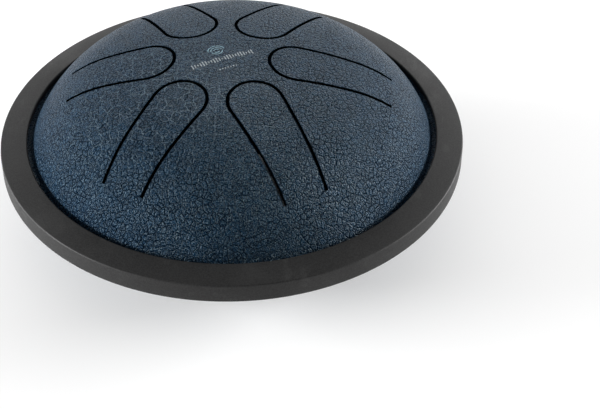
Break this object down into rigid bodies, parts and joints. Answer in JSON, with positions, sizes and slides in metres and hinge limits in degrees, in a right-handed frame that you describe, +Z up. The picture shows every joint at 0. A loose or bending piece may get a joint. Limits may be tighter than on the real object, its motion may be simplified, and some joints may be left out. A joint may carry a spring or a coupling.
{
  "type": "steel tongue drum",
  "caption": "Small round steel tongue drum: a domed shell with radial spring tongues on a bowl-shaped shell with a sound hole, in a rubber edge ring, on rubber feet.",
  "frame": {"origin": "on the drum's axis, in the plane that its feet stand on", "axes": "+Z up through the dome; +X towards tongue_1, which is on the right of the picture's view; +Y away from the viewer"},
  "size_m": [0.18, 0.18, 0.07],
  "materials": {
    "grained_paint": "satin navy powder coat with a leather-like grain",
    "weld_bead": "as welded, under the same primer",
    "edge_rubber": "matte black",
    "foot_rubber": "matte black"
  },
  "bodies": {
    "drum_body": {"top_shell": "grained_paint", "bottom_shell": "grained_paint", "seam_weld": "weld_bead", "edge_ring": "edge_rubber", "foot_1": "foot_rubber", "foot_2": "foot_rubber", "foot_3": "foot_rubber", "foot_4": "foot_rubber"},
    "tongue_1": {"tongue_1": "grained_paint"},
    "tongue_2": {"tongue_2": "grained_paint"},
    "tongue_3": {"tongue_3": "grained_paint"},
    "tongue_4": {"tongue_4": "grained_paint"},
    "tongue_5": {"tongue_5": "grained_paint"},
    "tongue_6": {"tongue_6": "grained_paint"}
  },
  "joints": [
    {"name": "tongue_1_flex", "type": "hinge", "parent": "drum_body", "child": "tongue_1", "pos_m": [0.0616, 0.0006, 0.05364], "axis": [0, 1, 0], "range_deg": [-0.6, 0.6], "stiffness_Nm_per_rad": 60},
    {"name": "tongue_2_flex", "type": "hinge", "parent": "drum_body", "child": "tongue_2", "pos_m": [0.0253, 0.04996, 0.05735], "axis": [-0.866, 0.5, 0], "range_deg": [-0.6, 0.6], "stiffness_Nm_per_rad": 60},
    {"name": "tongue_3_flex", "type": "hinge", "parent": "drum_body", "child": "tongue_3", "pos_m": [-0.0307, 0.04823, 0.05667], "axis": [-0.866, -0.5, 0], "range_deg": [-0.6, 0.6], "stiffness_Nm_per_rad": 60},
    {"name": "tongue_4_flex", "type": "hinge", "parent": "drum_body", "child": "tongue_4", "pos_m": [-0.0624, 0.0006, 0.05301], "axis": [0, -1, 0], "range_deg": [-0.6, 0.6], "stiffness_Nm_per_rad": 60},
    {"name": "tongue_5_flex", "type": "hinge", "parent": "drum_body", "child": "tongue_5", "pos_m": [-0.03605, -0.0563, 0.04893], "axis": [0.866, -0.5, 0], "range_deg": [-0.6, 0.6], "stiffness_Nm_per_rad": 60},
    {"name": "tongue_6_flex", "type": "hinge", "parent": "drum_body", "child": "tongue_6", "pos_m": [0.031, -0.05864, 0.04947], "axis": [0.866, 0.5, 0], "range_deg": [-0.6, 0.6], "stiffness_Nm_per_rad": 60}
  ]
}
